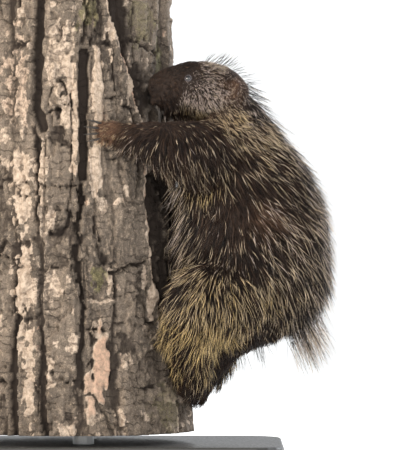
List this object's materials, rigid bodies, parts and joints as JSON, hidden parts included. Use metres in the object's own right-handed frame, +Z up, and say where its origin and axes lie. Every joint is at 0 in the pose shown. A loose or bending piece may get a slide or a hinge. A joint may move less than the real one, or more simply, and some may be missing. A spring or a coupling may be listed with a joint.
{
  "type": "porcupine model on a trunk",
  "caption": "Life-size still model of a North American porcupine clinging to a cut length of furrowed tree trunk, held by a flat base with short rods.",
  "frame": {"origin": "centre of the underside of the stand's flat base", "axes": "+Z up; the animal clings to the +X side of the trunk with its head up and its left side towards -Y"},
  "size_m": [0.5999, 0.4, 0.696],
  "materials": {
    "coat": "long dark brown guard hair and quills with yellow-white tips",
    "face": "short dense dark brown fur",
    "foot": "short rusty brown fur",
    "claw": "black horn, semi-gloss",
    "eye": "wet gloss, dark",
    "bark": "rough furrowed grey-brown bark",
    "stand": "plain dark satin board",
    "rod": "brushed"
  },
  "bodies": {
    "root": {"claw_forefoot_left_1": "claw", "claw_forefoot_left_2": "claw", "claw_forefoot_left_3": "claw", "claw_forefoot_left_4": "claw", "claw_forefoot_right_1": "claw", "claw_forefoot_right_2": "claw", "claw_forefoot_right_3": "claw", "claw_forefoot_right_4": "claw", "claw_hindfoot_left_1": "claw", "claw_hindfoot_left_2": "claw", "claw_hindfoot_left_3": "claw", "claw_hindfoot_left_4": "claw", "claw_hindfoot_left_5": "claw", "claw_hindfoot_right_1": "claw", "claw_hindfoot_right_2": "claw", "claw_hindfoot_right_3": "claw", "claw_hindfoot_right_4": "claw", "claw_hindfoot_right_5": "claw", "ear_left": "face", "ear_right": "face", "eye_left": "eye", "eye_right": "eye", "forefoot_left": "foot", "forefoot_right": "foot", "foreleg_left": "coat", "foreleg_right": "coat", "head": "face", "hindfoot_left": "foot", "hindfoot_right": "foot", "hindleg_left": "coat", "hindleg_right": "coat", "neck": "coat", "perch_trunk": "bark", "stand_base": "stand", "stand_rod_left": "rod", "stand_rod_right": "rod", "tail": "coat", "torso": "coat"}
  },
  "joints": []
}
